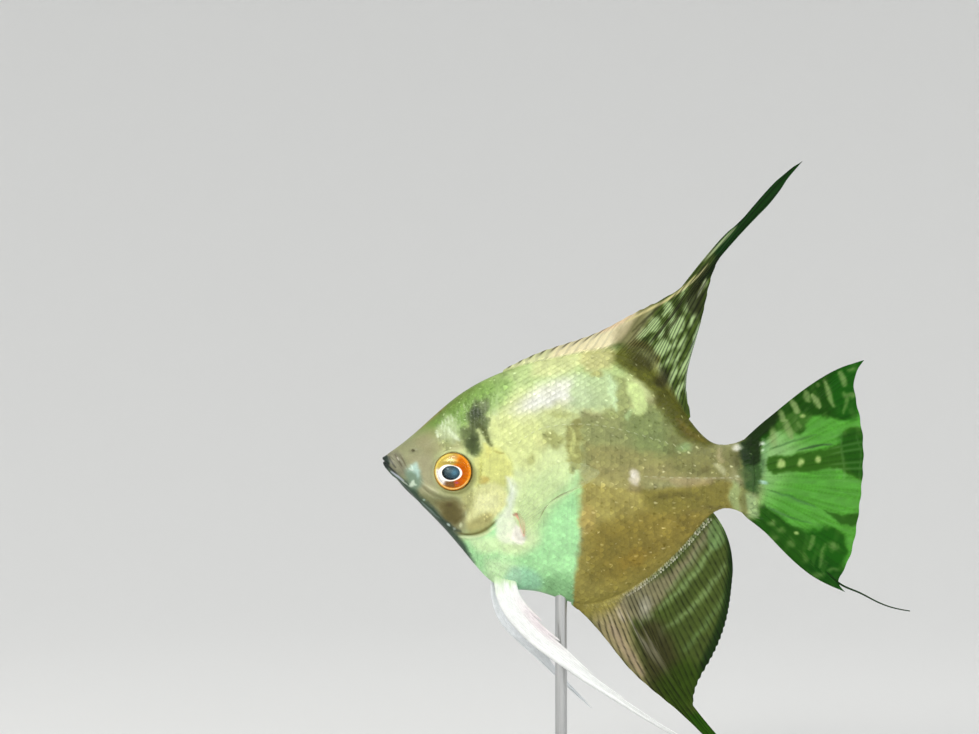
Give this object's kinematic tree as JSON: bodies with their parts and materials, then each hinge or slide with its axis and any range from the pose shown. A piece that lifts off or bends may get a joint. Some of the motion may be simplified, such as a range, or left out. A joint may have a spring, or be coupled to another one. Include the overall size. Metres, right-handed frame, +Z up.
{
  "type": "freshwater angelfish model",
  "caption": "Still life-size freshwater angelfish with a tall flat body and long fins, held in a swimming pose by a rod on a flat base.",
  "frame": {"origin": "centre of the underside of the stand's base", "axes": "+Z up; the fish's head points along -X and its left side faces -Y"},
  "size_m": [0.1331, 0.062, 0.1637],
  "materials": {
    "skin": "painted and varnished cast, pale olive and silver with a brown rear half",
    "lips": "painted near black",
    "gill_cover": "painted yellow green, satin varnish",
    "eye": "orange iris, white ring, blue black pupil, polished",
    "dark_fin": "thin cast sheet, brown black with pale spots, partly clear",
    "clear_fin": "thin cast sheet, pale green and clear",
    "feeler": "bluish white, satin",
    "base": "black lacquer, satin",
    "rod": "brushed"
  },
  "bodies": {
    "root": {"head": "skin", "lower_jaw": "lips", "gill_cover_left": "gill_cover", "gill_cover_right": "gill_cover", "eye_left": "eye", "eye_right": "eye", "trunk": "skin", "tail_stalk": "skin", "dorsal_fin": "dark_fin", "anal_fin": "dark_fin", "tail_fin": "dark_fin", "pectoral_fin_left": "clear_fin", "pectoral_fin_right": "clear_fin", "pelvic_fin_left": "feeler", "pelvic_fin_right": "feeler", "stand_base": "base", "stand_rod": "rod", "stand_collar": "rod"}
  },
  "joints": []
}
